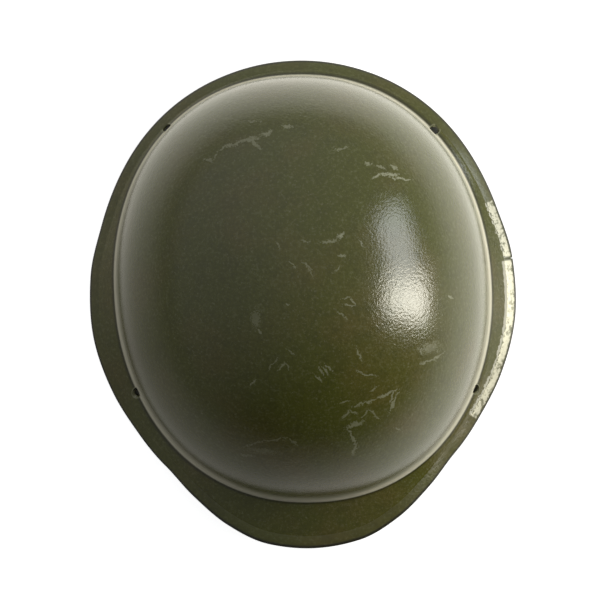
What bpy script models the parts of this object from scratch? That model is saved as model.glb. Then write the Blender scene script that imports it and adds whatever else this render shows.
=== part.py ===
# A pressed steel helmet: a dome that turns out into a brim all round, and a folded strip that
# covers the brim's cut edge. Metres. +Z is up, the visor points along -Y, and the rim rests on Z = 0.

import math
from collections import namedtuple

import bmesh
import bpy
from mathutils import Matrix, Vector

# The dome, measured to the foot, where its wall turns out into the brim
FOOT_LENGTH = 0.2492
FOOT_WIDTH = 0.2200
FOOT_SQUARENESS = 2.15  # exponent of the foot's outline, where 2 is an ellipse
CROWN_HEIGHT = 0.172  # rest plane to the top of the dome
SHOULDER_HEIGHT = 0.062  # where the straight wall turns into the cap
CAP_FULLNESS = 0.8  # exponent of the cap's profile, where 1 is an ellipse and less is fuller
FRONT_LEAN = 0.13  # run inward for each unit that the wall rises
BACK_LEAN = 0.09
CREASE_RADIUS = 0.002
SHELL_WALL = 0.0012

# The brim
VISOR_REACH = 0.0263  # in plan, from the foot to the outer face of the strip
SIDE_RISE = 0.0160  # height of the foot over the rim, at the sides
VISOR_LIFT = 0.0220  # height of the visor's edge over the rest plane

# The strip folded round the brim's edge
STRIP_WIDTH = 0.0066
STRIP_WALL = 0.0007
STRIP_CLEARANCE = 0.0004
STRIP_CORNER = 0.0005
STRIP_FLAT_CUT = 0.00045  # height of the corner that is flattened where the strip rests

# The four holes at the foot of the dome
HOLE_DIAMETER = 0.0055
HOLE_OFFSET = 0.0008  # centre from the foot, down the brim
HOLE_TILT = math.radians(25)  # of the hole's axis over the horizontal
HOLE_BEARINGS = (59.2, 139.5)  # degrees from the visor, on both sides

# Paint
SHELL_OLIVE = (0.065, 0.062, 0.030)
STRIP_OLIVE = (0.085, 0.082, 0.050)
PAINT_ROUGHNESS = 0.38

# Facets
BEARINGS = 80
CAP_ROWS = 12
WALL_ROWS = 2
CREASE_ROWS = 4
BRIM_ROWS = 3
HOLE_SIDES = 16
SHARP_ANGLE = math.radians(35)

# Half of the brim, from the visor round to the back. Each row gives, as shares, the reach (of
# VISOR_REACH), the rise of the foot over the rim (of SIDE_RISE) and the lift of the rim over
# the rest plane (of VISOR_LIFT).
BrimSection = namedtuple("BrimSection", "bearing reach rise lift")
BRIM_SECTIONS = (
    BrimSection(bearing=0, reach=1.000, rise=0.50, lift=1.00),
    BrimSection(bearing=10, reach=0.951, rise=0.50, lift=0.96),
    BrimSection(bearing=20, reach=0.760, rise=0.51, lift=0.85),
    BrimSection(bearing=30, reach=0.530, rise=0.55, lift=0.65),
    BrimSection(bearing=40, reach=0.392, rise=0.60, lift=0.39),
    BrimSection(bearing=50, reach=0.398, rise=0.70, lift=0.15),
    BrimSection(bearing=64, reach=0.486, rise=0.85, lift=0.00),
    BrimSection(bearing=82, reach=0.577, rise=1.00, lift=0.00),
    BrimSection(bearing=96, reach=0.538, rise=0.95, lift=0.00),
    BrimSection(bearing=110, reach=0.412, rise=0.73, lift=0.00),
    BrimSection(bearing=130, reach=0.341, rise=0.54, lift=0.10),
    BrimSection(bearing=160, reach=0.311, rise=0.48, lift=0.00),
    BrimSection(bearing=180, reach=0.338, rise=0.50, lift=0.00),
)


def brim_share(column, bearing):
    """A column of the brim's table at any bearing, smooth and without overshoot."""
    angle = abs((bearing + 180) % 360 - 180)
    at = [section.bearing for section in BRIM_SECTIONS]
    shares = [getattr(section, column) for section in BRIM_SECTIONS]
    last = len(at) - 1
    steps = [(shares[k + 1] - shares[k]) / (at[k + 1] - at[k]) for k in range(last)]
    slopes = [0.0] * len(at)
    for k in range(1, last):
        if steps[k - 1] * steps[k] > 0:
            slopes[k] = 2 * steps[k - 1] * steps[k] / (steps[k - 1] + steps[k])
    k = min(last - 1, sum(1 for bound in at[1:] if bound <= angle))
    span = at[k + 1] - at[k]
    u = (angle - at[k]) / span
    start = (1 + 2 * u) * (1 - u) ** 2 * shares[k] + u * (1 - u) ** 2 * span * slopes[k]
    end = u * u * (3 - 2 * u) * shares[k + 1] - u * u * (1 - u) * span * slopes[k + 1]
    return start + end


DOME_CENTRE_Y = VISOR_REACH * (brim_share("reach", 0) - brim_share("reach", 180)) / 2


def foot_radius(bearing):
    """Plan distance from the dome's centre to the foot of its wall."""
    angle = math.radians(bearing)
    across = abs(math.sin(angle)) / (FOOT_WIDTH / 2)
    along = abs(math.cos(angle)) / (FOOT_LENGTH / 2)
    return (across**FOOT_SQUARENESS + along**FOOT_SQUARENESS) ** (-1 / FOOT_SQUARENESS)


def lean(bearing):
    front = (1 + math.cos(math.radians(bearing))) / 2
    return BACK_LEAN + (FRONT_LEAN - BACK_LEAN) * front


def placed(bearing, point):
    """World position of a section's point, given as plan radius and height."""
    angle = math.radians(bearing)
    radius, height = point
    x = radius * math.sin(angle)
    y = DOME_CENTRE_Y - radius * math.cos(angle)
    return Vector((x, y, height))


class Section:
    """The helmet cut by the upright plane at one bearing: plan radius and height in metres."""

    def __init__(self, bearing):
        self.bearing = bearing
        self.foot_radius = foot_radius(bearing)
        reach = VISOR_REACH * brim_share("reach", bearing)
        slope = math.atan2(SIDE_RISE * brim_share("rise", bearing), reach)
        self.down = Vector((math.cos(slope), -math.sin(slope)))
        self.normal = Vector((math.sin(slope), math.cos(slope)))
        self.rim_height = VISOR_LIFT * brim_share("lift", bearing)
        # The strip's outermost corner and its rest flat fix where the sheet ends
        self.strip_half = SHELL_WALL / 2 + STRIP_CLEARANCE + STRIP_WALL
        self.strip_end = STRIP_CLEARANCE + STRIP_WALL
        corner = self.strip_end * self.down + (self.strip_half - STRIP_CORNER) * self.normal
        lowest = self.strip_end * self.down - self.strip_half * self.normal
        self.edge = Vector((
            self.foot_radius + reach - corner.x,
            self.rim_height - STRIP_FLAT_CUT - lowest.y,
        ))
        top_edge = self.edge + self.normal * SHELL_WALL / 2
        brim_length = (top_edge.x - self.foot_radius) / self.down.x
        self.top_edge = top_edge
        self.foot = top_edge - self.down * brim_length
        self.lean = lean(bearing)

    def wall_point(self, height):
        """The straight wall's outer face, which leans in as it rises."""
        return Vector((self.foot_radius - self.lean * (height - self.foot.y), height))

    def cap_point(self, turn):
        """The cap's outer face, from the crown at turn 0 to the shoulder at a quarter turn."""
        rise = (CROWN_HEIGHT - SHOULDER_HEIGHT) * abs(math.cos(turn)) ** CAP_FULLNESS
        height = SHOULDER_HEIGHT + rise
        return Vector((self.wall_point(height).x * math.sin(turn), height))

    def outer_path(self):
        """Points of the outer face from the crown to the brim's edge, the crown left out."""
        wall = Vector((-self.lean, 1)).normalized()
        setback = CREASE_RADIUS / math.tan(wall.angle(self.down) / 2)
        start = self.foot + wall * setback
        end = self.foot + self.down * setback
        path = []
        for row in range(1, CAP_ROWS + 1):
            path.append(self.cap_point(math.pi / 2 * row / CAP_ROWS))
        for row in range(1, WALL_ROWS + 1):
            path.append(self.wall_point(SHOULDER_HEIGHT).lerp(start, row / WALL_ROWS))
        for row in range(1, CREASE_ROWS + 1):
            u = row / CREASE_ROWS
            path.append(start * (1 - u) ** 2 + self.foot * 2 * u * (1 - u) + end * u * u)
        for row in range(1, BRIM_ROWS + 1):
            path.append(end.lerp(self.top_edge, row / BRIM_ROWS))
        return path

    def strip_path(self):
        """Closed outline of the folded strip, round its outer face and back through its channel."""
        half, end = self.strip_half, self.strip_end
        inner = half - STRIP_WALL
        across = STRIP_FLAT_CUT / self.normal.y
        along = STRIP_FLAT_CUT / -self.down.y
        corners = (
            (-STRIP_WIDTH, half),
            (end - STRIP_CORNER, half),
            (end, half - STRIP_CORNER),
            (end, across - half),
            (end - along, -half),
            (-STRIP_WIDTH, -half),
            (-STRIP_WIDTH, -inner),
            (STRIP_CLEARANCE, -inner),
            (STRIP_CLEARANCE, inner),
            (-STRIP_WIDTH, inner),
        )
        path = [self.edge + self.down * run + self.normal * rise for run, rise in corners]
        path[3].y = path[4].y = self.rim_height
        return path


def clear_scene():
    for obj in list(bpy.data.objects):
        bpy.data.objects.remove(obj, do_unlink=True)


def paint(name, colour):
    material = bpy.data.materials.new(name)
    material.use_nodes = True
    shader = material.node_tree.nodes["Principled BSDF"]
    shader.inputs["Base Color"].default_value = (*colour, 1)
    shader.inputs["Roughness"].default_value = PAINT_ROUGHNESS
    shader.inputs["Metallic"].default_value = 0
    return material


def mesh_object(name, bm, material=None):
    mesh = bpy.data.meshes.new(name)
    bm.to_mesh(mesh)
    bm.free()
    obj = bpy.data.objects.new(name, mesh)
    bpy.context.scene.collection.objects.link(obj)
    if material:
        mesh.materials.append(material)
        mesh.shade_smooth()
        mesh.set_sharp_from_angle(angle=SHARP_ANGLE)
    return obj


def bearings():
    return [360 * k / BEARINGS for k in range(BEARINGS)]


def join_rings(bm, rings, closed):
    """Quads between neighbouring sections, and from the last section back to the first."""
    for k, ring in enumerate(rings):
        following = rings[(k + 1) % len(rings)]
        for row in range(len(ring) if closed else len(ring) - 1):
            below = (row + 1) % len(ring)
            bm.faces.new((ring[row], ring[below], following[below], following[row]))


def make_shell():
    bm = bmesh.new()
    crown = bm.verts.new((0, DOME_CENTRE_Y, CROWN_HEIGHT))
    rings = []
    for bearing in bearings():
        path = Section(bearing).outer_path()
        rings.append([bm.verts.new(placed(bearing, point)) for point in path])
    for k, ring in enumerate(rings):
        bm.faces.new((crown, ring[0], rings[(k + 1) % len(rings)][0]))
    join_rings(bm, rings, closed=False)
    shell = mesh_object("shell", bm, paint("olive_paint", SHELL_OLIVE))
    solidify = shell.modifiers.new("sheet", "SOLIDIFY")
    solidify.thickness = SHELL_WALL
    solidify.offset = -1
    solidify.use_even_offset = True
    for cutter in hole_cutters():
        cut = shell.modifiers.new(cutter.name, "BOOLEAN")
        cut.operation = "DIFFERENCE"
        cut.object = cutter
    return shell


def hole_cutters():
    cutters = []
    for bearing in HOLE_BEARINGS:
        for side in (1, -1):
            section = Section(side * bearing)
            centre = placed(side * bearing, section.foot + section.down * HOLE_OFFSET)
            outward = placed(side * bearing, (1, 0)) - placed(side * bearing, (0, 0))
            axis = outward * math.cos(HOLE_TILT) + Vector((0, 0, math.sin(HOLE_TILT)))
            bm = bmesh.new()
            bmesh.ops.create_cone(
                bm,
                cap_ends=True,
                segments=HOLE_SIDES,
                radius1=HOLE_DIAMETER / 2,
                radius2=HOLE_DIAMETER / 2,
                depth=SHELL_WALL + 2 * CREASE_RADIUS,
            )
            cutter = mesh_object(f"hole_{len(cutters) + 1}", bm)
            turned = axis.to_track_quat("Z", "Y").to_matrix().to_4x4()
            cutter.matrix_world = Matrix.Translation(centre) @ turned
            cutter.hide_render = True
            cutter.display_type = "WIRE"
            cutters.append(cutter)
    return cutters


def make_edge_strip():
    bm = bmesh.new()
    rings = []
    for bearing in bearings():
        path = Section(bearing).strip_path()
        rings.append([bm.verts.new(placed(bearing, point)) for point in path])
    join_rings(bm, rings, closed=True)
    return mesh_object("edge_strip", bm, paint("worn_strip", STRIP_OLIVE))


clear_scene()
make_shell()
make_edge_strip()
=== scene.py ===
# A pressed steel helmet with a folded strip round its rim, seen from straight above.
import math

import bmesh
import bpy
from mathutils import Matrix, Vector, noise


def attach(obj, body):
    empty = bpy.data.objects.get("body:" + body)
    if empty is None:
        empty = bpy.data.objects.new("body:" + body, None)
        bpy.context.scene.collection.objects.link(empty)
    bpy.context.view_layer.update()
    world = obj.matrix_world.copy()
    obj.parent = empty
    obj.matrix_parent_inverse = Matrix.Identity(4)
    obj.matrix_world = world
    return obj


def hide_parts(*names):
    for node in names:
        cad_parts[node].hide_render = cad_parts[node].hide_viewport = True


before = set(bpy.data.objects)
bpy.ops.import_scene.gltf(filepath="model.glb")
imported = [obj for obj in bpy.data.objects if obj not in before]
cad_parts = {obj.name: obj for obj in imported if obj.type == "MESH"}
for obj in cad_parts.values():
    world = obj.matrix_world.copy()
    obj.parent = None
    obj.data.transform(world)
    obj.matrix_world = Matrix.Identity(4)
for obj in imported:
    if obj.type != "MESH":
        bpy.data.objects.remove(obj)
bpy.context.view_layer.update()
print("frame loaded:", sorted(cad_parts))


# The form, as in the solids (metres, and degrees from the visor, positive to the wearer's left)

form = {
    "footLength": 0.2492,
    "footWidth": 0.2200,
    "footSquareness": 2.15,
    "crownHeight": 0.172,
    "shoulderHeight": 0.062,
    "capFullness": 0.8,
    "frontLean": 0.13,
    "backLean": 0.09,
    "creaseRadius": 0.002,
    "sheet": 0.0012,
    "visorReach": 0.0263,
    "sideRise": 0.0160,
    "visorLift": 0.0220,
    "stripWidth": 0.0066,
    "stripWall": 0.0007,
    "stripClearance": 0.0004,
    "stripCorner": 0.0005,
    "stripFlat": 0.00045,
}

# bearing, then shares of visorReach, sideRise and visorLift
brimStations = (
    (0, 1.000, 0.50, 1.00),
    (10, 0.951, 0.50, 0.96),
    (20, 0.760, 0.51, 0.85),
    (30, 0.530, 0.55, 0.65),
    (40, 0.392, 0.60, 0.39),
    (50, 0.398, 0.70, 0.15),
    (64, 0.486, 0.85, 0.00),
    (82, 0.577, 1.00, 0.00),
    (96, 0.538, 0.95, 0.00),
    (110, 0.412, 0.73, 0.00),
    (130, 0.341, 0.54, 0.10),
    (160, 0.311, 0.48, 0.00),
    (180, 0.338, 0.50, 0.00),
)


def brimShare(column, bearing):  # smooth between the stations, with no overshoot
    angle = abs((bearing + 180) % 360 - 180)
    at = [station[0] for station in brimStations]
    shares = [station[column] for station in brimStations]
    last = len(at) - 1
    steps = [(shares[k + 1] - shares[k]) / (at[k + 1] - at[k]) for k in range(last)]
    slopes = [0.0] * len(at)
    for k in range(1, last):
        if steps[k - 1] * steps[k] > 0:
            slopes[k] = 2 * steps[k - 1] * steps[k] / (steps[k - 1] + steps[k])
    k = min(last - 1, sum(1 for bound in at[1:] if bound <= angle))
    span = at[k + 1] - at[k]
    u = (angle - at[k]) / span
    start = (1 + 2 * u) * (1 - u) ** 2 * shares[k] + u * (1 - u) ** 2 * span * slopes[k]
    end = u * u * (3 - 2 * u) * shares[k + 1] - u * u * (1 - u) * span * slopes[k + 1]
    return start + end


domeCentre = Vector((0, form["visorReach"] * (brimShare(1, 0) - brimShare(1, 180)) / 2, 0))


def footRadius(bearing):
    across = abs(math.sin(math.radians(bearing))) / (form["footWidth"] / 2)
    along = abs(math.cos(math.radians(bearing))) / (form["footLength"] / 2)
    power = form["footSquareness"]
    return (across**power + along**power) ** (-1 / power)


def placed(bearing, point):  # a section's point, plan radius and height, in the row frame
    angle = math.radians(bearing)
    return domeCentre + Vector((point[0] * math.sin(angle), -point[0] * math.cos(angle), point[1]))


def bearingOf(point):
    return math.degrees(math.atan2(point.x, domeCentre.y - point.y))


def sectionAt(bearing):
    foot = footRadius(bearing)
    reach = form["visorReach"] * brimShare(1, bearing)
    slope = math.atan2(form["sideRise"] * brimShare(2, bearing), reach)
    down = Vector((math.cos(slope), -math.sin(slope)))
    normal = Vector((math.sin(slope), math.cos(slope)))
    half = form["sheet"] / 2 + form["stripClearance"] + form["stripWall"]
    end = form["stripClearance"] + form["stripWall"]
    corner = end * down + (half - form["stripCorner"]) * normal
    lowest = end * down - half * normal
    rim = form["visorLift"] * brimShare(3, bearing)
    edge = Vector((foot + reach - corner.x, rim - form["stripFlat"] - lowest.y))
    topEdge = edge + normal * form["sheet"] / 2
    front = (1 + math.cos(math.radians(bearing))) / 2
    return {
        "footRadius": foot,
        "down": down,
        "normal": normal,
        "half": half,
        "end": end,
        "edge": edge,
        "topEdge": topEdge,
        "foot": topEdge - down * (topEdge.x - foot) / down.x,
        "lean": form["backLean"] + (form["frontLean"] - form["backLean"]) * front,
    }


# Modelling helpers, used as by hand


def deselectAll():
    if bpy.context.object and bpy.context.object.mode != "OBJECT":
        bpy.ops.object.mode_set(mode="OBJECT")
    bpy.ops.object.select_all(action="DESELECT")


def startEditing(obj):
    deselectAll()
    bpy.context.view_layer.objects.active = obj
    obj.select_set(True)
    bpy.ops.object.mode_set(mode="EDIT")


def applyModifier(obj, kind, **settings):
    deselectAll()
    bpy.context.view_layer.objects.active = obj
    obj.select_set(True)
    modifier = obj.modifiers.new(kind.lower(), kind)
    for name, value in settings.items():
        setattr(modifier, name, value)
    bpy.ops.object.modifier_apply(modifier=modifier.name)


ringStart = 0.01  # radius of a new ring, before its vertices take their places


def startRing(name, bearings, fill):  # a circle whose vertices remember their station
    deselectAll()
    bpy.ops.mesh.primitive_circle_add(
        vertices=len(bearings), radius=ringStart, fill_type=fill, location=domeCentre
    )
    ring = bpy.context.object
    ring.name = name
    bpy.ops.object.transform_apply(location=True, rotation=True, scale=True)
    startEditing(ring)
    mesh = bmesh.from_edit_mesh(ring.data)
    station = mesh.verts.layers.int.new("station")
    outer = [v for v in mesh.verts if (v.co - domeCentre).length > ringStart / 2]
    outer.sort(key=lambda v: bearingOf(v.co))
    for k, vertex in enumerate(outer):
        vertex[station] = k
    return ring


def layRing(ring, points):  # the selected ring takes its places
    mesh = bmesh.from_edit_mesh(ring.data)
    station = mesh.verts.layers.int["station"]
    for vertex in mesh.verts:
        if vertex.select:
            vertex.co = points[vertex[station]]
    bmesh.update_edit_mesh(ring.data, loop_triangles=False)


def selectOpenEdges(ring, test=lambda edge: True):
    bpy.ops.mesh.select_all(action="DESELECT")
    mesh = bmesh.from_edit_mesh(ring.data)
    for edge in mesh.edges:
        if edge.is_boundary and test(edge):
            edge.select_set(True)
    bmesh.update_edit_mesh(ring.data, loop_triangles=False)


def finishSmooth(obj, angle):
    deselectAll()
    bpy.context.view_layer.objects.active = obj
    obj.select_set(True)
    bpy.ops.object.shade_smooth_by_angle(angle=angle)


def paintAttribute(obj, name, values):  # one number for each vertex
    layer = obj.data.attributes.new(name, "FLOAT", "POINT")
    layer.data.foreach_set("value", values)


# The shell: a fan at the crown, extruded row by row down the dome and out over the brim

shell = {
    "around": 360,
    "capRows": 46,
    "wallRows": 10,
    "creaseRows": 8,
    "brimRows": 12,
    "ripple": 0.00022,  # height of the slow hammer waves left by the press
    "rippleScale": 26,
    "rippleFrom": 0.03,  # height at which they start
    "rippleGrow": 0.03,  # height over which they grow
    "rippleCentre": 0.06,  # height of the point that they swell away from
    "holeDiameter": 0.0055,
    "holeOffset": 0.0013,  # centre from the foot, down the brim
    "holeTilt": math.radians(25),
    "holeBearings": (57.1, 137.5, -60.0, -142.3),
    "holeFlare": 0.0007,
    "holeSides": 40,
    "ribs": ((52, 13, 0.00030), (-52, 13, 0.00028)),  # low, on the brim: bearing, half stretch, height
    "ribOut": 0.0044,  # from the foot
    "ribWidth": 0.0011,
    "wallStart": 0.004,  # height over the foot from which the outside faces out and not up
    "skew": 0.0088,  # the dome is a little out of true with its brim, whose edge was trimmed true
    "shrink": 0.008,
    "shift": (0.0002, 0.0005),
    "smoothAngle": math.radians(40),
}


def shellPath(bearing):
    cut = sectionAt(bearing)
    foot, down, lean = cut["foot"], cut["down"], cut["lean"]

    def wallPoint(height):
        return Vector((cut["footRadius"] - lean * (height - foot.y), height))

    wall = Vector((-lean, 1)).normalized()
    setback = form["creaseRadius"] / math.tan(wall.angle(down) / 2)
    start, end = foot + wall * setback, foot + down * setback
    path = []
    for row in range(1, shell["capRows"] + 1):
        turn = math.pi / 2 * row / shell["capRows"]
        rise = (form["crownHeight"] - form["shoulderHeight"]) * abs(math.cos(turn)) ** form["capFullness"]
        point = wallPoint(form["shoulderHeight"] + rise)
        path.append(Vector((point.x * math.sin(turn), point.y)))
    for row in range(1, shell["wallRows"] + 1):
        path.append(wallPoint(form["shoulderHeight"]).lerp(start, row / shell["wallRows"]))
    for row in range(1, shell["creaseRows"] + 1):
        u = row / shell["creaseRows"]
        path.append(start * (1 - u) ** 2 + foot * 2 * u * (1 - u) + end * u * u)
    for row in range(1, shell["brimRows"] + 1):
        point = end.lerp(cut["topEdge"], row / shell["brimRows"])
        out = (point - foot).length
        for centre, stretch, height in shell["ribs"]:
            beside = (out - shell["ribOut"]) / shell["ribWidth"]
            near = math.exp(-(((bearing - centre) / stretch) ** 2) - beside**2)
            point = point + cut["normal"] * height * near
        path.append(point)
    return path


def makeShell():
    step = 360 / shell["around"]
    bearings = [-180 + step * (k + 0.5) for k in range(shell["around"])]
    paths = [shellPath(bearing) for bearing in bearings]
    dome = startRing("helmet_shell", bearings, "TRIFAN")
    mesh = bmesh.from_edit_mesh(dome.data)
    for vertex in mesh.verts:
        crown = not vertex.is_boundary
        vertex.select = not crown
        if crown:
            vertex.co = domeCentre + Vector((0, 0, form["crownHeight"]))
    rows = len(paths[0])
    for row in range(rows):
        if row:
            selectOpenEdges(dome)
            bpy.ops.mesh.extrude_edges_move()
        points = [placed(bearings[k], paths[k][row]) for k in range(len(bearings))]
        layRing(dome, points)
    bpy.ops.object.mode_set(mode="OBJECT")
    for vertex in dome.data.vertices:  # the press leaves the dome a little uneven
        lift = noise.noise(vertex.co * shell["rippleScale"]) * shell["ripple"]
        keep = min(1, max(0, (vertex.co.z - shell["rippleFrom"]) / shell["rippleGrow"]))
        away = vertex.co - Vector((0, domeCentre.y, shell["rippleCentre"]))
        vertex.co = vertex.co + away.normalized() * lift * keep
    applyModifier(dome, "SOLIDIFY", thickness=form["sheet"], offset=-1, use_even_offset=True)
    cutter = makeHoleCutters()
    applyModifier(dome, "BOOLEAN", operation="DIFFERENCE", solver="EXACT", object=cutter)
    bpy.data.objects.remove(cutter, do_unlink=True)
    finishSmooth(dome, shell["smoothAngle"])
    return dome


def holeAxis(bearing):  # the middle of a hole and the way that it was punched
    cut = sectionAt(bearing)
    centre = placed(bearing, cut["foot"] + cut["down"] * shell["holeOffset"])
    outward = (placed(bearing, (1, 0)) - domeCentre).normalized()
    return centre, outward * math.cos(shell["holeTilt"]) + Vector((0, 0, math.sin(shell["holeTilt"])))


def makeHoleCutters():
    radius = shell["holeDiameter"] / 2
    depth = form["sheet"] + 2 * form["creaseRadius"]
    cutters = []
    for bearing in shell["holeBearings"]:
        centre, axis = holeAxis(bearing)
        deselectAll()
        bpy.ops.mesh.primitive_cylinder_add(vertices=shell["holeSides"], radius=radius, depth=depth)
        cutter = bpy.context.object
        startEditing(cutter)
        bpy.ops.mesh.select_all(action="SELECT")
        bpy.ops.mesh.bisect(plane_co=(0, 0, form["sheet"] / 3), plane_no=(0, 0, 1))
        mesh = bmesh.from_edit_mesh(cutter.data)
        for vertex in mesh.verts:
            if vertex.co.z > form["sheet"]:  # the outer end opens like a countersink
                vertex.co.xy = vertex.co.xy * (1 + shell["holeFlare"] / radius)
        bmesh.update_edit_mesh(cutter.data)
        bpy.ops.object.mode_set(mode="OBJECT")
        turned = axis.to_track_quat("Z", "Y").to_matrix().to_4x4()
        cutter.data.transform(Matrix.Translation(centre) @ turned)
        cutters.append(cutter)
    deselectAll()
    for cutter in cutters:
        cutter.select_set(True)
    bpy.context.view_layer.objects.active = cutters[0]
    bpy.ops.object.join()
    return bpy.context.object


# The strip: a section's loop carried round the rim, open by a hair at its butt joint

strip = {
    "around": 540,
    "jointBearing": 95.6,
    "jointGap": 0.0005,
    "jointRadius": 0.122,  # of the rim's plan at the joint
    "corner": 0.0012,
    "cornerSteps": 6,
    "faceSteps": 8,
    "clearance": 0.00006,  # between the strip's channel and the sheet
    "channelPast": 0.0003,  # how far the channel runs on past the sheet's edge
    "lipSink": 0.00004,  # how far the hammered lip sinks under the sheet's face
    "lipWall": 0.00012,
    "crown": 0.00016,  # how far the tapered face bows outward
    "smoothAngle": math.radians(50),
}


def stripPath(bearing):
    cut = sectionAt(bearing)
    half, end, sheetHalf = cut["half"], cut["end"], form["sheet"] / 2
    inner = sheetHalf + strip["clearance"]
    lip = sheetHalf - strip["lipSink"]
    width, corner, past = form["stripWidth"], strip["corner"], strip["channelPast"]
    outline = []
    for step in range(strip["faceSteps"]):  # the face swells from its lip to the fold
        u = step / strip["faceSteps"]
        bow = strip["crown"] * 4 * u * (1 - u)
        outline.append((-width + (end - corner + width) * u, lip + (half - lip) * u + bow))
    for turn, centre in ((90, half - corner), (0, corner - half)):
        for step in range(strip["cornerSteps"] + 1):
            angle = math.radians(turn - 90 * step / strip["cornerSteps"])
            outline.append((end - corner + corner * math.cos(angle), centre + corner * math.sin(angle)))
    outline += [(-width / 3, -half), (-width, -lip), (-width, strip["lipWall"] - lip)]
    outline += [(-width / 2, -inner), (past, -inner), (past, inner), (-width / 2, inner)]
    outline += [(-width, lip - strip["lipWall"])]
    return [cut["edge"] + cut["down"] * run + cut["normal"] * rise for run, rise in outline]


def makeStrip():
    gap = math.degrees(strip["jointGap"] / strip["jointRadius"])
    count = strip["around"]
    start = strip["jointBearing"] - 360 + gap / 2
    bearings = [start + (360 - gap) * k / (count - 1) for k in range(count)]
    paths = [stripPath(bearing) for bearing in bearings]
    rim = startRing("rim_strip", bearings, "NOTHING")
    mesh = bmesh.from_edit_mesh(rim.data)
    for vertex in mesh.verts:
        vertex.select = True
    mesh.select_flush_mode()
    rows = len(paths[0])
    for row in range(rows):
        if row == 1:
            bpy.ops.mesh.select_all(action="SELECT")
            bpy.ops.mesh.extrude_edges_move()
        elif row:
            layer = [placed(bearings[k], paths[k][row - 1]) for k in range(count)]
            near = {tuple(round(c, 7) for c in point) for point in layer}
            selectOpenEdges(rim, lambda edge: tuple(round(c, 7) for c in edge.verts[0].co) in near)
            bpy.ops.mesh.extrude_edges_move()
        layRing(rim, [placed(bearings[k], paths[k][row]) for k in range(count)])
    selectOpenEdges(rim)
    bpy.ops.mesh.bridge_edge_loops()
    bpy.ops.mesh.select_all(action="DESELECT")
    mesh = bmesh.from_edit_mesh(rim.data)
    station = mesh.verts.layers.int["station"]
    for face in mesh.faces:
        stations = {vertex[station] for vertex in face.verts}
        face.select = stations == {0, count - 1}
    bmesh.update_edit_mesh(rim.data)
    bpy.ops.mesh.delete(type="FACE")
    selectOpenEdges(rim)
    bpy.ops.mesh.fill_holes(sides=0)
    bpy.ops.mesh.select_all(action="SELECT")
    bpy.ops.mesh.normals_make_consistent(inside=False)
    bpy.ops.object.mode_set(mode="OBJECT")
    finishSmooth(rim, strip["smoothAngle"])
    return rim


# Facts that the finishes follow, one number for each vertex in millimetres or as a share


def measureShell(dome):
    holes = [holeAxis(bearing) for bearing in shell["holeBearings"]]
    middle = Vector((0, domeCentre.y, form["shoulderHeight"]))
    fromFoot, fromLip, fromHole, outside = [], [], [], []
    for vertex in dome.data.vertices:
        cut = sectionAt(bearingOf(vertex.co))
        plan = (vertex.co.xy - domeCentre.xy).length
        out = plan - cut["footRadius"]
        up = vertex.co.z - cut["foot"].y
        fromFoot.append(1000 * (out if out > 0 else -max(up, 0)))
        lip = cut["edge"] - cut["down"] * form["stripWidth"]
        fromLip.append(1000 * (lip.x - plan))
        offsets = [vertex.co - centre for centre, axis in holes]
        reaches = [(away - axis * away.dot(axis)).length for away, (centre, axis) in zip(offsets, holes)]
        fromHole.append(1000 * (min(reaches) - shell["holeDiameter"] / 2))
        facing = Vector((0, 0, 1)) if up < shell["wallStart"] else vertex.co - middle
        outside.append(1.0 if vertex.normal.dot(facing) > 0 else 0.0)
    paintAttribute(dome, "fromFoot", fromFoot)
    paintAttribute(dome, "fromLip", fromLip)
    paintAttribute(dome, "fromHole", fromHole)
    paintAttribute(dome, "outside", outside)


def measureStrip(rim):
    across, upper = [], []
    for vertex in rim.data.vertices:
        cut = sectionAt(bearingOf(vertex.co))
        flat = Vector(((vertex.co.xy - domeCentre.xy).length, vertex.co.z)) - cut["edge"]
        across.append(1000 * flat.dot(cut["down"]))
        upper.append(1000 * flat.dot(cut["normal"]))
    paintAttribute(rim, "across", across)
    paintAttribute(rim, "upper", upper)


def skewDome(dome):  # all of it inside the foot, and none of it at the strip's lip
    for vertex in dome.data.vertices:
        cut = sectionAt(bearingOf(vertex.co))
        flat = vertex.co.xy - domeCentre.xy
        lip = cut["edge"].x - cut["down"].x * form["stripWidth"]
        share = (lip - flat.length) / (lip - cut["footRadius"])
        share = min(1, max(0, share))
        moved = flat * -shell["shrink"] + Vector(shell["shift"])
        moved -= Vector((flat.y, flat.x)) * shell["skew"]
        vertex.co.xy += moved * share


helmetShell = makeShell()
measureShell(helmetShell)
skewDome(helmetShell)
print("shell modelled:", len(helmetShell.data.polygons), "faces")
rimStrip = makeStrip()
measureStrip(rimStrip)
print("strip modelled:", len(rimStrip.data.polygons), "faces")


# The camera looks straight down, turned so that the visor swings a little to the picture's right

view = {
    "distance": 1.8,  # from the brim's level
    "level": 0.010,
    "frameWidth": 0.3498,  # at that level
    "roll": math.radians(-2.6),
    "aim": (-0.00175, 0.0018),
    "sensor": 36.0,
    "pixels": 600,
}


def onShell(across, down):  # where a pixel of the picture meets the dome, in millimetres
    eye = Vector((*view["aim"], view["level"] + view["distance"]))
    pixel = view["frameWidth"] / view["pixels"]
    middle = view["pixels"] / 2
    ray = Vector(((across - middle) * pixel, (middle - down) * pixel, -view["distance"]))
    ray.rotate(Matrix.Rotation(view["roll"], 3, "Z"))
    place = helmetShell.ray_cast(eye, ray.normalized())[1]
    return 1000 * place.xy


# Node helpers


def addNode(tree, kind, inputs=None, **settings):
    node = tree.nodes.new(kind)
    for name, value in settings.items():
        setattr(node, name, value)
    for name, value in (inputs or {}).items():
        if isinstance(value, bpy.types.NodeSocket):
            tree.links.new(value, node.inputs[name])
        else:
            node.inputs[name].default_value = value
    return node


def maths(tree, operation, *values):
    return addNode(tree, "ShaderNodeMath", dict(enumerate(values)), operation=operation).outputs[0]


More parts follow.
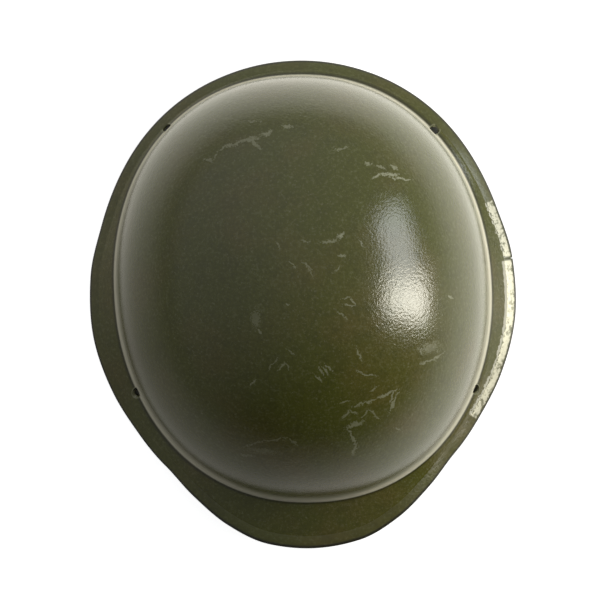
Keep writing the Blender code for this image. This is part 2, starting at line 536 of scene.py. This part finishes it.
def fade(tree, value, low, high):  # 0 at low, 1 at high
    inputs = {"Value": value, "From Min": low, "From Max": high}
    return addNode(tree, "ShaderNodeMapRange", inputs, interpolation_type="SMOOTHSTEP").outputs["Result"]


def mixColour(tree, amount, first, second):
    return addNode(tree, "ShaderNodeMix", {0: amount, 6: first, 7: second}, data_type="RGBA").outputs[2]


def mixValue(tree, amount, first, second):
    return addNode(tree, "ShaderNodeMix", {0: amount, 2: first, 3: second}).outputs[0]


def cloud(tree, place, scale, detail=2.0, roughness=0.5):
    inputs = {"Vector": place, "Scale": scale, "Detail": detail, "Roughness": roughness}
    return addNode(tree, "ShaderNodeTexNoise", inputs).outputs["Fac"]


def newGroup(name, inputs, outputs):
    tree = bpy.data.node_groups.new(name, "ShaderNodeTree")
    for label, kind, value in inputs:
        socket = tree.interface.new_socket(label, in_out="INPUT", socket_type="NodeSocket" + kind)
        socket.default_value = value
    for label, kind in outputs:
        tree.interface.new_socket(label, in_out="OUTPUT", socket_type="NodeSocket" + kind)
    return tree, tree.nodes.new("NodeGroupInput").outputs, tree.nodes.new("NodeGroupOutput").inputs


def placeGroup(tree, group, inputs):
    return addNode(tree, "ShaderNodeGroup", inputs, node_tree=group).outputs


def vectorMaths(tree, operation, *values):
    return addNode(tree, "ShaderNodeVectorMath", dict(enumerate(values)), operation=operation).outputs[0]


def fromMiddle(tree, place):  # from the middle of the dome's foot
    return vectorMaths(tree, "SUBTRACT", place, tuple(domeCentre))


def attribute(tree, name):
    return addNode(tree, "ShaderNodeAttribute", attribute_name=name).outputs["Fac"]


def product(tree, *values):
    result = values[0]
    for value in values[1:]:
        result = maths(tree, "MULTIPLY", result, value)
    return result


# Groups that the finishes share

grainSizes = {  # scales of its clouds, in waves to the metre
    "peel": 760.0,
    "swell": 190.0,
    "swellShare": 0.8,
    "tone": 560.0,
    "specks": 700.0,
    "speckFade": (0.62, 0.72),
}


def makeGrainGroup():  # the orange peel of sprayed paint, its mottled tone, and specks of wear
    outputs = [("Height", "Float"), ("Tone", "Float"), ("Speck", "Float")]
    tree, given, out = newGroup("paintGrain", [("Place", "Vector", (0, 0, 0))], outputs)
    peel = cloud(tree, given["Place"], grainSizes["peel"], 2.0, 0.6)
    swell = cloud(tree, given["Place"], grainSizes["swell"], 2.0, 0.5)
    height = maths(tree, "MULTIPLY_ADD", swell, grainSizes["swellShare"], peel)
    tree.links.new(height, out["Height"])
    tree.links.new(cloud(tree, given["Place"], grainSizes["tone"], 3.0, 0.7), out["Tone"])
    specks = cloud(tree, given["Place"], grainSizes["specks"], 2.0, 0.6)
    tree.links.new(fade(tree, specks, *grainSizes["speckFade"]), out["Speck"])
    return tree


wear = {
    "spread": 0.6,  # millimetres that a stroke runs on past its ends
    "width": 0.34,  # millimetres of half width to a pixel
    "thin": 0.45,  # millimetres, the least half width
    "gritScale": 1.1,
    "gritGain": 3.6,  # how far the grit breaks up a stroke's edge
    "gritMiddle": -1.9,
    "edgeFade": (1.3, 0.4),
    "bendScale": 0.35,
    "bend": 3.5,  # millimetres that the strokes waver
}


def makeMarkGroup():  # adds one worn mark to those before: an ellipse on the plan, broken up by grit
    inputs = [
        ("Before", "Float", 0.0),
        ("Place", "Vector", (0, 0, 0)),
        ("Grit", "Float", 0.5),
        ("Centre", "Vector", (0, 0, 0)),
        ("Turn", "Float", 0.0),
        ("Size", "Vector", (1, 1, 1)),
        ("Strength", "Float", 0.5),
    ]
    tree, given, out = newGroup("wornMark", inputs, [("Mask", "Float")])
    away = vectorMaths(tree, "SUBTRACT", given["Place"], given["Centre"])
    back = maths(tree, "MULTIPLY", given["Turn"], -1.0)
    inputs = {"Vector": away, "Angle": back}
    turned = addNode(tree, "ShaderNodeVectorRotate", inputs, rotation_type="Z_AXIS")
    shares = vectorMaths(tree, "DIVIDE", turned.outputs[0], given["Size"])
    reach = addNode(tree, "ShaderNodeVectorMath", {0: shares}, operation="LENGTH").outputs["Value"]
    rough = maths(tree, "MULTIPLY_ADD", given["Grit"], wear["gritGain"], wear["gritMiddle"])
    mark = fade(tree, maths(tree, "ADD", reach, rough), *wear["edgeFade"])
    mask = maths(tree, "MULTIPLY", mark, given["Strength"])
    tree.links.new(maths(tree, "MAXIMUM", given["Before"], mask), out["Mask"])
    return tree


# the pale band over the crease: settled dust, with a painted sheen standing in for the wall's reflection of
# the floor
dustAndSheen = {
    "reach": 52.0,  # millimetres up the wall
    "strength": 1.35,
    "fall": 1.5,  # how fast it thins out up the wall
    "around": 7,  # streaks, long around the dome and fine up the wall
    "levels": 150,
    "streaks": 1.3,
    "evenness": 0.35,
    "wallFade": (0.9, 0.1),  # millimetres past the foot
    "dullness": 0.9,
}


def makeChalkAndSheenGroup():  # pale dust on the wall over the crease, streaked along it, with a painted sheen: pale colour in place of the wall's grazing reflection of the floor
    inputs = [
        ("Place", "Vector", (0, 0, 0)),
        ("Rise", "Float", 0.0),
        ("Reach", "Float", 80.0),
        ("Strength", "Float", 0.8),
    ]
    tree, given, out = newGroup("creaseChalkAndSheen", inputs, [("Mask", "Float")])
    flat = vectorMaths(tree, "MULTIPLY", fromMiddle(tree, given["Place"]), (1, 1, 0))
    around = (dustAndSheen["around"], dustAndSheen["around"], 0)
    along = vectorMaths(tree, "MULTIPLY", vectorMaths(tree, "NORMALIZE", flat), around)
    level = vectorMaths(tree, "MULTIPLY", given["Place"], (0, 0, dustAndSheen["levels"]))
    streaks = cloud(tree, vectorMaths(tree, "ADD", along, level), 1.0, 4.0, 0.6)
    share = maths(tree, "SUBTRACT", 1.0, maths(tree, "DIVIDE", given["Rise"], given["Reach"]))
    depth = maths(tree, "POWER", maths(tree, "MAXIMUM", share, 0.0), dustAndSheen["fall"])
    dustySheen = maths(tree, "MULTIPLY_ADD", streaks, dustAndSheen["streaks"], dustAndSheen["evenness"])
    mask = maths(tree, "MINIMUM", product(tree, depth, dustySheen, given["Strength"]), 1.0)
    tree.links.new(mask, out["Mask"])
    return tree


def makeSpanGroup():  # a stretch of the rim between two bearings, in degrees
    inputs = [
        ("Place", "Vector", (0, 0, 0)),
        ("From", "Float", 0.0),
        ("To", "Float", 90.0),
        ("Feather", "Float", 2.0),
    ]
    tree, given, out = newGroup("rimStretch", inputs, [("Mask", "Float")])
    flat = addNode(tree, "ShaderNodeSeparateXYZ", {0: fromMiddle(tree, given["Place"])})
    angle = maths(tree, "ARCTAN2", flat.outputs["X"], maths(tree, "MULTIPLY", flat.outputs["Y"], -1.0))
    bearing = maths(tree, "DEGREES", angle)
    middle = maths(tree, "MULTIPLY", maths(tree, "ADD", given["From"], given["To"]), 0.5)
    half = maths(tree, "MULTIPLY", maths(tree, "SUBTRACT", given["To"], given["From"]), 0.5)
    away = maths(tree, "ABSOLUTE", maths(tree, "SUBTRACT", bearing, middle))
    inner = maths(tree, "SUBTRACT", half, given["Feather"])
    tree.links.new(fade(tree, away, half, inner), out["Mask"])
    return tree


grainGroup = makeGrainGroup()
markGroup = makeMarkGroup()
chalkAndSheenGroup = makeChalkAndSheenGroup()
spanGroup = makeSpanGroup()


def newFinish(name):
    material = bpy.data.materials.new(name)
    material.use_nodes = True
    tree = material.node_tree
    return material, tree, tree.nodes["Principled BSDF"]


# The olive paint, on both pieces

paint = {
    "olive": (0.088, 0.092, 0.0140, 1),
    "brown": (0.112, 0.092, 0.020, 1),
    "shade": (0.062, 0.062, 0.013, 1),
    # pale colour of scuffs and wear, also of the painted glint round the holes
    "scuffedAndGlint": (0.300, 0.300, 0.185, 1),
    # pale colour of the dust over the crease, also a painted sheen
    "chalkAndSheen": (0.660, 0.625, 0.485, 1),
    # dark colour of painted shade, in the crease and along the strip's fold
    "paintedShade": (0.022, 0.020, 0.010, 1),
    "bare": (0.540, 0.520, 0.410, 1),
    "roughness": 0.21,
    "stripDullness": 0.1,  # more roughness on the strip
    "worn": 0.85,  # roughness where the pale band of dust and painted sheen lies, or where it is scuffed
    "specular": 0.7,
    "grain": 0.60,
    "grainDepth": 0.0002,
    "driftScale": 17.0,  # slow drift of its colour, then a finer mottle and the grain's own tone
    "driftFade": (0.40, 0.70),
    "mottleScale": 120.0,
    "mottleFade": (0.45, 0.70),
    "mottleShare": 0.35,
    "darkFade": (0.50, 0.66),
    "darkShare": 0.45,
    "paleFade": (0.48, 0.34),
    "paleShare": 0.16,
    "speckShare": 0.25,
    "markDullness": 0.5,
    "grooveIn": (0.2, 0.9),  # painted shade that darkens the crease, in millimetres past the foot
    "grooveOut": (2.2, 1.0),
    "grooveShare": 0.65,
    "glintFade": (0.9, 0.2),  # a painted glint, a pale ring round each hole's lip, in millimetres
    "glintShare": 0.6,
}


def olivePaint(tree, place, grain):
    drift = cloud(tree, place, paint["driftScale"], 3.0, 0.55)
    mottle = cloud(tree, place, paint["mottleScale"], 3.0, 0.6)
    colour = mixColour(tree, fade(tree, drift, *paint["driftFade"]), paint["olive"], paint["brown"])
    mottled = product(tree, fade(tree, mottle, *paint["mottleFade"]), paint["mottleShare"])
    colour = mixColour(tree, mottled, colour, paint["shade"])
    dark = product(tree, fade(tree, grain["Tone"], *paint["darkFade"]), paint["darkShare"])
    colour = mixColour(tree, dark, colour, paint["shade"])
    pale = product(tree, fade(tree, grain["Tone"], *paint["paleFade"]), paint["paleShare"])
    return mixColour(tree, pale, colour, paint["scuffedAndGlint"])


def finishShader(tree, shader, colour, roughness, grain, metal=None):
    tree.links.new(colour, shader.inputs["Base Color"])
    tree.links.new(roughness, shader.inputs["Roughness"])
    if metal is not None:
        tree.links.new(metal, shader.inputs["Metallic"])
    shader.inputs["Specular IOR Level"].default_value = paint["specular"]
    inputs = {"Height": grain["Height"], "Strength": paint["grain"], "Distance": paint["grainDepth"]}
    bump = addNode(tree, "ShaderNodeBump", inputs)
    tree.links.new(bump.outputs["Normal"], shader.inputs["Normal"])


# Worn marks on the dome, each a stroke from one pixel of the 600 x 600 picture to another, as they
# are seen from the camera: x and y at both ends, width in pixels, strength
wornStrokes = {
    "crownArc": (
        (220, 150, 226, 144, 1.6, 0.56),
        (225, 145, 233, 145, 3.0, 0.62),
        (233, 146, 243, 140, 2.6, 0.62),
        (242, 141, 258, 138, 2.6, 0.69),
        (250, 140, 260, 147, 2.6, 0.62),
        (263, 135, 271, 132, 4.0, 0.75),
        (283, 126, 292, 127, 2.6, 0.62),
        (250, 121, 258, 122, 1.6, 0.44),
        (205, 159, 212, 161, 1.6, 0.50),
        (215, 158, 217, 153, 1.1, 0.50),
    ),
    "backFlecks": (
        (337, 150, 346, 148, 1.7, 0.62),
        (366, 163, 372, 164, 2.0, 0.75),
        (377, 166, 383, 168, 1.6, 0.62),
        (392, 167, 397, 169, 2.0, 0.75),
    ),
    "brightStreak": (
        (374, 178, 381, 174, 1.9, 1.00),
        (380, 174, 387, 173, 2.0, 1.00),
        (384, 175, 397, 175, 2.3, 1.00),
        (393, 178, 408, 180, 2.0, 1.00),
    ),
    "middleScrapes": (
        (323, 242, 336, 240, 2.2, 0.62),
        (339, 237, 343, 234, 2.6, 1.00),
        (302, 240, 309, 242, 1.6, 0.44),
        (277, 243, 279, 248, 1.5, 0.44),
        (290, 262, 295, 269, 1.1, 0.50),
        (303, 262, 311, 269, 1.3, 0.56),
        (306, 266, 313, 276, 1.0, 0.38),
        (339, 255, 344, 256, 2.6, 0.69),
        (335, 271, 341, 267, 1.2, 0.50),
        (360, 240, 364, 246, 1.1, 0.44),
    ),
    "rightOfMiddle": (
        (343, 299, 350, 297, 1.2, 0.50),
        (345, 305, 353, 306, 1.3, 0.56),
        (351, 299, 355, 304, 1.1, 0.56),
        (337, 311, 346, 318, 1.0, 0.44),
    ),
    "leftRub": (
        (256, 311, 256, 326, 7.0, 0.35),
        (259, 331, 261, 333, 1.8, 0.62),
        (287, 304, 288, 304, 1.8, 0.88),
    ),
    "parallelNicks": (
        (315, 375, 321, 380, 1.0, 0.62),
        (319, 368, 324, 376, 1.0, 0.62),
        (322, 366, 328, 374, 1.0, 0.62),
        (326, 365, 331, 370, 1.0, 0.62),
    ),
    "leftNicks": (
        (269, 369, 277, 358, 1.1, 0.50),
        (279, 370, 285, 364, 1.3, 0.56),
        (285, 364, 288, 368, 1.1, 0.50),
        (288, 350, 294, 354, 1.3, 0.44),
    ),
    "frontFan": (
        (357, 348, 361, 360, 1.2, 0.56),
        (358, 371, 364, 374, 1.1, 0.50),
        (363, 374, 375, 375, 1.3, 0.62),
        (371, 392, 377, 387, 1.1, 0.50),
        (340, 403, 350, 401, 1.1, 0.56),
        (360, 405, 378, 399, 1.4, 0.62),
        (377, 399, 396, 390, 1.7, 0.69),
        (393, 392, 391, 402, 1.7, 0.62),
        (397, 395, 390, 411, 1.7, 0.62),
        (343, 418, 350, 411, 1.2, 0.56),
        (350, 411, 357, 413, 1.2, 0.50),
        (354, 407, 362, 402, 1.5, 0.56),
        (348, 427, 362, 422, 3.4, 0.62),
        (362, 417, 368, 411, 1.3, 0.50),
        (370, 410, 378, 418, 1.2, 0.50),
        (349, 431, 356, 446, 2.6, 0.62),
        (356, 445, 352, 454, 2.6, 0.62),
        (396, 428, 400, 430, 1.8, 0.62),
    ),
    "rightRub": (
        (422, 350, 438, 346, 8.0, 0.31),
        (421, 363, 433, 361, 1.1, 0.56),
        (432, 361, 442, 354, 1.1, 0.56),
        (419, 349, 423, 355, 1.1, 0.44),
    ),
    "frontSmears": (
        (251, 384, 255, 381, 1.7, 0.75),
        (245, 446, 262, 441, 1.4, 0.50),
        (262, 441, 285, 438, 1.3, 0.38),
        (243, 455, 253, 457, 2.6, 0.44),
        (250, 450, 276, 452, 5.0, 0.28),
        (291, 440, 297, 445, 2.4, 0.38),
    ),
    "strays": (
        (449, 296, 451, 297, 2.0, 0.75),
    ),
}

# Where the paint is off the rim: bearings, how ragged, and how far it runs in over the brim in mm
bareStretches = (
    {"from": 50.1, "to": 79.0, "fray": 1.1, "run": 0.5},
    {"from": 77.0, "to": 95.3, "fray": 0.3, "run": 0.9},
    {"from": 95.9, "to": 112.5, "fray": 1.3, "run": -0.4},
)

bareEdge = {  # fades in millimetres, across the strip from its fold
    "raggedScale": 330.0,
    "endFade": 0.5,  # degrees
    "brimRagged": 4.0,  # millimetres for each unit of ripple, on the brim, at the lip and at the fold
    "brimFade": 0.3,
    "lipRagged": 9.0,
    "lipFade": (-6.6, -6.1),
    "foldRagged": 4.0,
    "foldFade": (-0.9, -2.0),
    "faceFade": (0.2, 0.5),
    "pitFade": (0.50, 0.60),
    "pitShare": 0.75,
    # painted shade along the strip's rounded fold, where it turns away
    "foldShadeFade": (-1.5, -0.5),
    "foldShadeShare": 0.9,
    "roughness": 0.5,
    "metal": 0.5,
}


def bareSpan(tree, place, stretch):  # the stretch, and the ripple that frays its edges
    ragged = cloud(tree, place, bareEdge["raggedScale"], 4.0, 0.65)
    ends = {"From": stretch["from"], "To": stretch["to"], "Feather": bareEdge["endFade"]}
    span = placeGroup(tree, spanGroup, {"Place": place, **ends})["Mask"]
    return span, maths(tree, "SUBTRACT", ragged, 0.5)


def shellWear(tree, place):
    flat = vectorMaths(tree, "MULTIPLY", place, (1000, 1000, 0))
    grit = cloud(tree, flat, wear["gritScale"], 3.0, 0.6)
    inputs = {"Vector": flat, "Scale": wear["bendScale"], "Detail": 2.0}
    bends = addNode(tree, "ShaderNodeTexNoise", inputs).outputs["Color"]
    bends = vectorMaths(tree, "SUBTRACT", bends, (0.5, 0.5, 0.5))
    bent = vectorMaths(tree, "MULTIPLY", bends, (wear["bend"], wear["bend"], 0))
    bent = vectorMaths(tree, "ADD", flat, bent)
    mask = 0.0
    for stroke in [stroke for group in wornStrokes.values() for stroke in group]:
        start, end = onShell(*stroke[0:2]), onShell(*stroke[2:4])
        run = end - start
        inputs = {
            "Before": mask,
            "Place": bent,
            "Grit": grit,
            "Centre": ((start.x + end.x) / 2, (start.y + end.y) / 2, 0),
            "Turn": math.atan2(run.y, run.x),
            "Size": (run.length / 2 + wear["spread"], max(stroke[4] * wear["width"], wear["thin"]), 1),
            "Strength": stroke[5],
        }
        mask = placeGroup(tree, markGroup, inputs)["Mask"]
    return mask


# the pale band over the crease, partly dust and partly a painted sheen of the floor's reflection
def creaseDustAndSheen(tree, place, fromFoot):
    rise = maths(tree, "MAXIMUM", maths(tree, "MULTIPLY", fromFoot, -1.0), 0.0)
    onWall = fade(tree, fromFoot, *dustAndSheen["wallFade"])
    inputs = {"Place": place, "Rise": rise, "Reach": dustAndSheen["reach"], "Strength": dustAndSheen["strength"]}
    return product(tree, placeGroup(tree, chalkAndSheenGroup, inputs)["Mask"], onWall)


def bareBrim(tree, place, fromLip, stretch):  # where the bare stretch runs in past the strip's lip
    span, ripple = bareSpan(tree, place, stretch)
    reach = maths(tree, "MULTIPLY_ADD", ripple, bareEdge["brimRagged"] * stretch["fray"], fromLip)
    low, high = stretch["run"] + bareEdge["brimFade"], stretch["run"] - bareEdge["brimFade"]
    return product(tree, span, fade(tree, reach, low, high))


def bareStrip(tree, place, across, upper):  # where the strip's own paint is off
    bare = None
    for stretch in bareStretches:
        span, ripple = bareSpan(tree, place, stretch)
        lip = maths(tree, "MULTIPLY_ADD", ripple, bareEdge["lipRagged"] * stretch["fray"], across)
        fold = maths(tree, "MULTIPLY_ADD", ripple, bareEdge["foldRagged"], across)
        inner, outer = fade(tree, lip, *bareEdge["lipFade"]), fade(tree, fold, *bareEdge["foldFade"])
        patch = product(tree, span, inner, outer, fade(tree, upper, *bareEdge["faceFade"]))
        bare = patch if bare is None else maths(tree, "MAXIMUM", bare, patch)
    pits = fade(tree, cloud(tree, place, bareEdge["raggedScale"], 5.0, 0.75), *bareEdge["pitFade"])
    return maths(tree, "MULTIPLY", bare, maths(tree, "MULTIPLY_ADD", pits, -bareEdge["pitShare"], 1.0))


def makeShellPaint():
    material, tree, shader = newFinish("olivePaint")
    place = addNode(tree, "ShaderNodeTexCoord").outputs["Object"]
    grain = placeGroup(tree, grainGroup, {"Place": place})
    outside, fromFoot = attribute(tree, "outside"), attribute(tree, "fromFoot")
    colour = olivePaint(tree, place, grain)
    colour = mixColour(tree, product(tree, grain["Speck"], paint["speckShare"]), colour, paint["scuffedAndGlint"])
    marks = product(tree, shellWear(tree, place), outside)
    colour = mixColour(tree, marks, colour, paint["scuffedAndGlint"])
    # painted sheen: the pale band over the crease is dust and a painted reflection of the floor
    chalkAndSheen = product(tree, creaseDustAndSheen(tree, place, fromFoot), outside)
    colour = mixColour(tree, chalkAndSheen, colour, paint["chalkAndSheen"])
    # painted shade: a dark line along the crease, as if in its shadow
    creaseShade = [fade(tree, fromFoot, *paint[side]) for side in ("grooveIn", "grooveOut")]
    creaseShade = product(tree, *creaseShade, outside, paint["grooveShare"])
    colour = mixColour(tree, creaseShade, colour, paint["paintedShade"])
    # painted highlight: a pale ring round each hole, in place of the glint on its lip
    ring = fade(tree, attribute(tree, "fromHole"), *paint["glintFade"])
    colour = mixColour(tree, product(tree, ring, outside, paint["glintShare"]), colour, paint["scuffedAndGlint"])
    fromLip = attribute(tree, "fromLip")
    for stretch in bareStretches:
        bare = product(tree, bareBrim(tree, place, fromLip, stretch), outside)
        colour = mixColour(tree, bare, colour, paint["bare"])
    dustySheen, rubbed = product(tree, chalkAndSheen, dustAndSheen["dullness"]), product(tree, marks, paint["markDullness"])
    dull = maths(tree, "MAXIMUM", dustySheen, rubbed)
    roughness = mixValue(tree, dull, paint["roughness"], paint["worn"])
    finishShader(tree, shader, colour, roughness, grain)
    return material


def makeStripPaint():
    material, tree, shader = newFinish("wornStrip")
    place = addNode(tree, "ShaderNodeTexCoord").outputs["Object"]
    grain = placeGroup(tree, grainGroup, {"Place": place})
    across, upper = attribute(tree, "across"), attribute(tree, "upper")
    bare = bareStrip(tree, place, across, upper)
    colour = mixColour(tree, bare, olivePaint(tree, place, grain), paint["bare"])
    # painted shade: the strip darkened along its fold
    foldShade = product(tree, fade(tree, across, *bareEdge["foldShadeFade"]), bareEdge["foldShadeShare"])
    colour = mixColour(tree, foldShade, colour, paint["paintedShade"])
    roughness = mixValue(tree, bare, paint["roughness"] + paint["stripDullness"], bareEdge["roughness"])
    finishShader(tree, shader, colour, roughness, grain, product(tree, bare, bareEdge["metal"]))
    return material


helmetShell.data.materials.append(makeShellPaint())
rimStrip.data.materials.append(makeStripPaint())
for piece, node, slot in ((helmetShell, "shell", "olive_paint"), (rimStrip, "edge_strip", "worn_strip")):
    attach(piece, "root")
    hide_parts(node)
print("paint laid on")


# The studio: a pale floor, windows low at the wearer's left and a room that is lighter behind

studio = {
    "floorSize": 6.0,
    "floorSeen": (0.88, 0.88, 0.875, 1),  # by the camera
    "floorLit": (0.28, 0.28, 0.27, 1),  # by the helmet
    "floorGlow": 0.85,
    "sheen": 0.70,  # of the floor as the helmet meets it
    "sheenTilt": (0.430, 0.430, 0),  # how much more at the right and behind
    "sheenLeast": 0.16,
    "sheenFade": (0.20, 0.75),  # metres over which it falls off
    "sheenFar": 0.25,  # share that is left of it far off
    "sheenTint": (1.0, 0.97, 0.86, 1),
    "shadeMargin": 0.004,  # of the dark ground under the helmet, past the foot of the dome
    "shadeFade": (1.0, 1.04),
    "floorRoughness": 0.8,
    "floorSpecular": 0.1,
    "lampDistance": 1.2,
    "room": 0.235,
    "roomTilt": (-0.09, 0.29, 0.06),  # how much lighter the room is to the right, behind and above
    "roomLeast": 0.02,
    "roomTint": (0.96, 0.98, 1.0, 1),
}

# name, bearing, sill, width, height, watts, colour, mirrored in the paint or not, lights it or not
lamps = (
    ("warmWindow", 83, 0.18, 0.30, 0.80, 10.5, (1.0, 0.98, 0.88), True, False),
    ("warmWall", 86, 0.18, 0.60, 0.80, 7.5, (1.0, 0.98, 0.90), False, True),
    ("coolWindow", 106, 0.36, 0.62, 0.55, 5.2, (0.93, 0.98, 1.0), True, True),
)


def openGround(tree, place):  # 0 under the dome and 1 outside it, so that the holes look into the dark
    halves = [form["footWidth"] / 2 + studio["shadeMargin"], form["footLength"] / 2 + studio["shadeMargin"]]
    offset = vectorMaths(tree, "ABSOLUTE", fromMiddle(tree, place))
    shares = addNode(tree, "ShaderNodeSeparateXYZ", {0: vectorMaths(tree, "DIVIDE", offset, (*halves, 1))})
    across = maths(tree, "POWER", shares.outputs["X"], form["footSquareness"])
    along = maths(tree, "POWER", shares.outputs["Y"], form["footSquareness"])
    return fade(tree, maths(tree, "ADD", across, along), *studio["shadeFade"])


def floorSheen(tree, place):  # how bright the helmet meets the floor: more at the right and behind
    out = vectorMaths(tree, "MULTIPLY", fromMiddle(tree, place), (1, 1, 0))
    side = vectorMaths(tree, "NORMALIZE", out)
    inputs = {0: side, 1: studio["sheenTilt"]}
    tilt = addNode(tree, "ShaderNodeVectorMath", inputs, operation="DOT_PRODUCT").outputs["Value"]
    sheen = maths(tree, "ADD", tilt, studio["sheen"])
    sheen = maths(tree, "MAXIMUM", sheen, studio["sheenLeast"])
    far = addNode(tree, "ShaderNodeVectorMath", {0: out}, operation="LENGTH").outputs["Value"]
    left = mixValue(tree, fade(tree, far, *studio["sheenFade"]), 1.0, studio["sheenFar"])
    return product(tree, sheen, left)


def makeFloorFinish():
    material, tree, shader = newFinish("paleFloor")
    seen = addNode(tree, "ShaderNodeLightPath").outputs["Is Camera Ray"]
    place = addNode(tree, "ShaderNodeTexCoord").outputs["Object"]
    colour = mixColour(tree, seen, studio["floorLit"], studio["floorSeen"])
    glow = mixValue(tree, seen, floorSheen(tree, place), studio["floorGlow"])
    glow = product(tree, glow, openGround(tree, place))
    tint = mixColour(tree, seen, studio["sheenTint"], (1, 1, 1, 1))
    tree.links.new(colour, shader.inputs["Base Color"])
    tree.links.new(tint, shader.inputs["Emission Color"])
    tree.links.new(glow, shader.inputs["Emission Strength"])
    shader.inputs["Roughness"].default_value = studio["floorRoughness"]
    shader.inputs["Specular IOR Level"].default_value = studio["floorSpecular"]
    return material


def makeFloor():
    deselectAll()
    bpy.ops.mesh.primitive_plane_add(size=studio["floorSize"], location=(0, 0, 0))
    floor = bpy.context.object
    floor.name = "studio_floor"
    floor.data.materials.append(makeFloorFinish())


def makeLamps():
    for name, bearing, sill, width, height, watts, colour, mirrored, lit in lamps:
        angle = math.radians(bearing)
        away = studio["lampDistance"]
        at = domeCentre + Vector((away * math.sin(angle), -away * math.cos(angle), sill + height / 2))
        deselectAll()
        bpy.ops.object.light_add(type="AREA", location=at)
        lamp = bpy.context.object
        lamp.name = name
        lamp.data.shape = "RECTANGLE"
        lamp.data.size = width
        lamp.data.size_y = height
        lamp.data.energy = watts
        lamp.data.color = colour
        lamp.rotation_euler = (math.radians(90), 0, angle)
        lamp.visible_glossy = mirrored
        lamp.visible_diffuse = lit


def makeRoom():
    world = bpy.data.worlds.new("studioRoom")
    world.use_nodes = True
    tree = world.node_tree
    look = addNode(tree, "ShaderNodeTexCoord").outputs["Generated"]
    inputs = {0: look, 1: studio["roomTilt"]}
    tilt = addNode(tree, "ShaderNodeVectorMath", inputs, operation="DOT_PRODUCT").outputs["Value"]
    light = maths(tree, "MAXIMUM", maths(tree, "ADD", tilt, studio["room"]), studio["roomLeast"])
    tree.nodes["Background"].inputs["Color"].default_value = studio["roomTint"]
    tree.links.new(light, tree.nodes["Background"].inputs["Strength"])
    bpy.context.scene.world = world
    bpy.context.scene.view_settings.view_transform = "Standard"


def makeCamera():
    deselectAll()
    height = view["level"] + view["distance"]
    bpy.ops.object.camera_add(location=(*view["aim"], height), rotation=(0, 0, view["roll"]))
    camera = bpy.context.object
    camera.name = "overheadCamera"
    camera.data.sensor_width = view["sensor"]
    camera.data.lens = view["sensor"] * view["distance"] / view["frameWidth"]
    bpy.context.scene.camera = camera


makeFloor()
makeLamps()
makeRoom()
makeCamera()
print("studio set")
